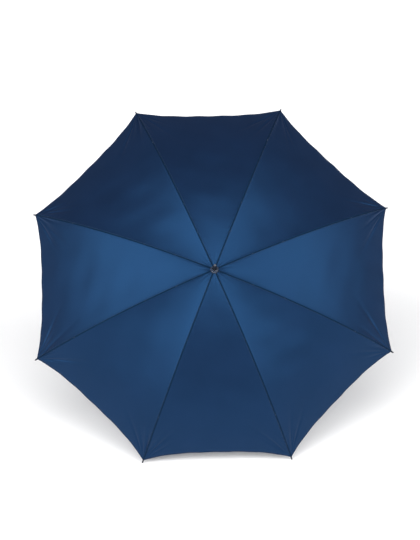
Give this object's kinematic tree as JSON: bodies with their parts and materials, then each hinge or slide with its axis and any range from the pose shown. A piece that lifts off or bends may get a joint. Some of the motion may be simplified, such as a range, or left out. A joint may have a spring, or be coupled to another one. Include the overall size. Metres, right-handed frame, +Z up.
{
  "type": "golf umbrella",
  "caption": "Open golf umbrella with a domed eight-panel canopy on folding ribs, a sliding runner with spring catches, and a straight foam grip.",
  "frame": {"origin": "on the floor that the open umbrella lies on, under the middle of its box; it rests on two rib tips and the rim of the handle's end cap", "axes": "+Z up; +X across the canopy, through the middles of two opposite panels; the shaft lies in the YZ plane, with its handle towards +Y and its ferrule towards -Y and up"},
  "size_m": [1.2022, 0.9103, 0.9036],
  "materials": {
    "canopy_cloth": "satin",
    "fibreglass": "satin",
    "black_plastic": "satin",
    "shaft_paint": "gloss",
    "bright_metal": "polished",
    "steel": "satin",
    "grip_foam": "matte",
    "end_rubber": "matte",
    "crown_disc": "matte",
    "strap_webbing": "matte",
    "hook_pad": "matte"
  },
  "bodies": {
    "shaft": {"shaft": "shaft_paint", "top_notch": "black_plastic", "notch_wire": "steel", "canopy_cap": "crown_disc", "ferrule_ring": "bright_metal", "ferrule": "black_plastic", "ferrule_tip": "bright_metal", "stop_pin": "steel", "handle_core": "black_plastic", "handle_grip": "grip_foam", "handle_collar": "black_plastic", "handle_cap": "end_rubber"},
    "runner": {"runner": "black_plastic", "runner_wire": "steel"},
    "top_catch": {"top_catch": "steel"},
    "bottom_catch": {"bottom_catch": "steel"},
    "tie_strap": {"tie_strap": "strap_webbing", "strap_pad": "hook_pad"},
    "rib_1": {"rib_1": "fibreglass", "rib_clip_1": "black_plastic", "rib_tip_1": "black_plastic"},
    "stretcher_1": {"stretcher_1": "fibreglass"},
    "canopy_gore_1": {"canopy_gore_1": "canopy_cloth"},
    "rib_2": {"rib_2": "fibreglass", "rib_clip_2": "black_plastic", "rib_tip_2": "black_plastic"},
    "stretcher_2": {"stretcher_2": "fibreglass"},
    "canopy_gore_2": {"canopy_gore_2": "canopy_cloth"},
    "rib_3": {"rib_3": "fibreglass", "rib_clip_3": "black_plastic", "rib_tip_3": "black_plastic"},
    "stretcher_3": {"stretcher_3": "fibreglass"},
    "canopy_gore_3": {"canopy_gore_3": "canopy_cloth"},
    "rib_4": {"rib_4": "fibreglass", "rib_clip_4": "black_plastic", "rib_tip_4": "black_plastic"},
    "stretcher_4": {"stretcher_4": "fibreglass"},
    "canopy_gore_4": {"canopy_gore_4": "canopy_cloth"},
    "rib_5": {"rib_5": "fibreglass", "rib_clip_5": "black_plastic", "rib_tip_5": "black_plastic"},
    "stretcher_5": {"stretcher_5": "fibreglass"},
    "canopy_gore_5": {"canopy_gore_5": "canopy_cloth"},
    "rib_6": {"rib_6": "fibreglass", "rib_clip_6": "black_plastic", "rib_tip_6": "black_plastic"},
    "stretcher_6": {"stretcher_6": "fibreglass"},
    "canopy_gore_6": {"canopy_gore_6": "canopy_cloth"},
    "rib_7": {"rib_7": "fibreglass", "rib_clip_7": "black_plastic", "rib_tip_7": "black_plastic"},
    "stretcher_7": {"stretcher_7": "fibreglass"},
    "canopy_gore_7": {"canopy_gore_7": "canopy_cloth"},
    "rib_8": {"rib_8": "fibreglass", "rib_clip_8": "black_plastic", "rib_tip_8": "black_plastic"},
    "stretcher_8": {"stretcher_8": "fibreglass"},
    "canopy_gore_8": {"canopy_gore_8": "canopy_cloth"}
  },
  "joints": [
    {"name": "fold", "type": "hinge", "parent": "shaft", "child": "rib_1", "pos_m": [0.01109, -0.23254, 0.61621], "axis": [-0.3827, 0.612, 0.6921], "range_deg": [0, 67.9], "deforming": ["canopy_gore_1", "canopy_gore_2", "canopy_gore_3", "canopy_gore_4", "canopy_gore_5", "canopy_gore_6", "canopy_gore_7", "canopy_gore_8", "tie_strap", "strap_pad", "top_catch", "bottom_catch"]},
    {"name": "rib_pivot_2", "type": "hinge", "parent": "shaft", "child": "rib_2", "pos_m": [0.00459, -0.22824, 0.62107], "axis": [-0.9239, 0.2535, 0.2867], "range_deg": [0, 67.9]},
    {"name": "rib_pivot_3", "type": "hinge", "parent": "shaft", "child": "rib_3", "pos_m": [-0.00459, -0.22824, 0.62107], "axis": [-0.9239, -0.2535, -0.2867], "range_deg": [0, 67.9]},
    {"name": "rib_pivot_4", "type": "hinge", "parent": "shaft", "child": "rib_4", "pos_m": [-0.01109, -0.23254, 0.61621], "axis": [-0.3827, -0.612, -0.6921], "range_deg": [0, 67.9]},
    {"name": "rib_pivot_5", "type": "hinge", "parent": "shaft", "child": "rib_5", "pos_m": [-0.01109, -0.23862, 0.60933], "axis": [0.3827, -0.612, -0.6921], "range_deg": [0, 67.9]},
    {"name": "rib_pivot_6", "type": "hinge", "parent": "shaft", "child": "rib_6", "pos_m": [-0.00459, -0.24293, 0.60446], "axis": [0.9239, -0.2535, -0.2867], "range_deg": [0, 67.9]},
    {"name": "rib_pivot_7", "type": "hinge", "parent": "shaft", "child": "rib_7", "pos_m": [0.00459, -0.24293, 0.60446], "axis": [0.9239, 0.2535, 0.2867], "range_deg": [0, 67.9]},
    {"name": "rib_pivot_8", "type": "hinge", "parent": "shaft", "child": "rib_8", "pos_m": [0.01109, -0.23862, 0.60933], "axis": [0.3827, 0.612, 0.6921], "range_deg": [0, 67.9]},
    {"name": "stretcher_pivot_1", "type": "hinge", "parent": "rib_1", "child": "stretcher_1", "pos_m": [0.31222, -0.10454, 0.66952], "axis": [-0.3827, 0.612, 0.6921], "range_deg": [-135.81, 0]},
    {"name": "stretcher_pivot_2", "type": "hinge", "parent": "rib_2", "child": "stretcher_2", "pos_m": [0.12933, 0.01662, 0.80653], "axis": [-0.9239, 0.2535, 0.2867], "range_deg": [-135.81, 0]},
    {"name": "stretcher_pivot_3", "type": "hinge", "parent": "rib_3", "child": "stretcher_3", "pos_m": [-0.12933, 0.01662, 0.80653], "axis": [-0.9239, -0.2535, -0.2867], "range_deg": [-135.81, 0]},
    {"name": "stretcher_pivot_4", "type": "hinge", "parent": "rib_4", "child": "stretcher_4", "pos_m": [-0.31222, -0.10454, 0.66952], "axis": [-0.3827, -0.612, -0.6921], "range_deg": [-135.81, 0]},
    {"name": "stretcher_pivot_5", "type": "hinge", "parent": "rib_5", "child": "stretcher_5", "pos_m": [-0.31222, -0.27589, 0.47577], "axis": [0.3827, -0.612, -0.6921], "range_deg": [-135.81, 0]},
    {"name": "stretcher_pivot_6", "type": "hinge", "parent": "rib_6", "child": "stretcher_6", "pos_m": [-0.12933, -0.39705, 0.33876], "axis": [0.9239, -0.2535, -0.2867], "range_deg": [-135.81, 0]},
    {"name": "stretcher_pivot_7", "type": "hinge", "parent": "rib_7", "child": "stretcher_7", "pos_m": [0.12933, -0.39705, 0.33876], "axis": [0.9239, 0.2535, 0.2867], "range_deg": [-135.81, 0]},
    {"name": "stretcher_pivot_8", "type": "hinge", "parent": "rib_8", "child": "stretcher_8", "pos_m": [0.31222, -0.27589, 0.47577], "axis": [0.3827, 0.612, 0.6921], "range_deg": [-135.81, 0]},
    {"name": "runner_pivot", "type": "hinge", "parent": "stretcher_1", "child": "runner", "pos_m": [0.01109, -0.1418, 0.53596], "axis": [-0.3827, 0.612, 0.6921], "range_deg": [0, 67.9]},
    {"name": "gore_fold_1", "type": "hinge", "parent": "shaft", "child": "canopy_gore_1", "pos_m": [0.01109, -0.23558, 0.61277], "axis": [0, 0.6625, 0.7491], "range_deg": [0, 67.9]},
    {"name": "gore_fold_2", "type": "hinge", "parent": "shaft", "child": "canopy_gore_2", "pos_m": [0.00784, -0.23039, 0.61864], "axis": [-0.7071, 0.4684, 0.5297], "range_deg": [0, 67.9]},
    {"name": "gore_fold_3", "type": "hinge", "parent": "shaft", "child": "canopy_gore_3", "pos_m": [0, -0.22824, 0.62107], "axis": [-1, 0, 0], "range_deg": [0, 67.9]},
    {"name": "gore_fold_4", "type": "hinge", "parent": "shaft", "child": "canopy_gore_4", "pos_m": [-0.00784, -0.23039, 0.61864], "axis": [-0.7071, -0.4684, -0.5297], "range_deg": [0, 67.9]},
    {"name": "gore_fold_5", "type": "hinge", "parent": "shaft", "child": "canopy_gore_5", "pos_m": [-0.01109, -0.23558, 0.61277], "axis": [0, -0.6625, -0.7491], "range_deg": [0, 67.9]},
    {"name": "gore_fold_6", "type": "hinge", "parent": "shaft", "child": "canopy_gore_6", "pos_m": [-0.00784, -0.24077, 0.60689], "axis": [0.7071, -0.4684, -0.5297], "range_deg": [0, 67.9]},
    {"name": "gore_fold_7", "type": "hinge", "parent": "shaft", "child": "canopy_gore_7", "pos_m": [0, -0.24293, 0.60446], "axis": [1, 0, 0], "range_deg": [0, 67.9]},
    {"name": "gore_fold_8", "type": "hinge", "parent": "shaft", "child": "canopy_gore_8", "pos_m": [0.00784, -0.24077, 0.60689], "axis": [0.7071, 0.4684, 0.5297], "range_deg": [0, 67.9]},
    {"name": "top_catch_press", "type": "slide", "parent": "shaft", "child": "top_catch", "axis": [0, -0.6625, -0.7491], "range_m": [0, 0.0022], "stiffness_N_per_m": 900, "springref_m": -0.0015},
    {"name": "bottom_catch_press", "type": "slide", "parent": "shaft", "child": "bottom_catch", "axis": [0, -0.6625, -0.7491], "range_m": [0, 0.0022], "stiffness_N_per_m": 900, "springref_m": -0.0015},
    {"name": "strap_swing", "type": "hinge", "parent": "canopy_gore_5", "child": "tie_strap", "pos_m": [-0.56739, -0.07813, 0.47352], "axis": [0, -0.6625, -0.7491], "range_deg": [-40, 80]}
  ],
  "couplings": [
    {"joint": "rib_pivot_2", "follows": "fold", "ratio": 1},
    {"joint": "rib_pivot_3", "follows": "fold", "ratio": 1},
    {"joint": "rib_pivot_4", "follows": "fold", "ratio": 1},
    {"joint": "rib_pivot_5", "follows": "fold", "ratio": 1},
    {"joint": "rib_pivot_6", "follows": "fold", "ratio": 1},
    {"joint": "rib_pivot_7", "follows": "fold", "ratio": 1},
    {"joint": "rib_pivot_8", "follows": "fold", "ratio": 1},
    {"joint": "stretcher_pivot_1", "follows": "fold", "ratio": -2},
    {"joint": "stretcher_pivot_2", "follows": "fold", "ratio": -2},
    {"joint": "stretcher_pivot_3", "follows": "fold", "ratio": -2},
    {"joint": "stretcher_pivot_4", "follows": "fold", "ratio": -2},
    {"joint": "stretcher_pivot_5", "follows": "fold", "ratio": -2},
    {"joint": "stretcher_pivot_6", "follows": "fold", "ratio": -2},
    {"joint": "stretcher_pivot_7", "follows": "fold", "ratio": -2},
    {"joint": "stretcher_pivot_8", "follows": "fold", "ratio": -2},
    {"joint": "runner_pivot", "follows": "fold", "ratio": 1},
    {"joint": "gore_fold_1", "follows": "fold", "ratio": 0.97},
    {"joint": "gore_fold_2", "follows": "fold", "ratio": 0.97},
    {"joint": "gore_fold_3", "follows": "fold", "ratio": 0.97},
    {"joint": "gore_fold_4", "follows": "fold", "ratio": 0.97},
    {"joint": "gore_fold_5", "follows": "fold", "ratio": 0.97},
    {"joint": "gore_fold_6", "follows": "fold", "ratio": 0.97},
    {"joint": "gore_fold_7", "follows": "fold", "ratio": 0.97},
    {"joint": "gore_fold_8", "follows": "fold", "ratio": 0.97}
  ]
}
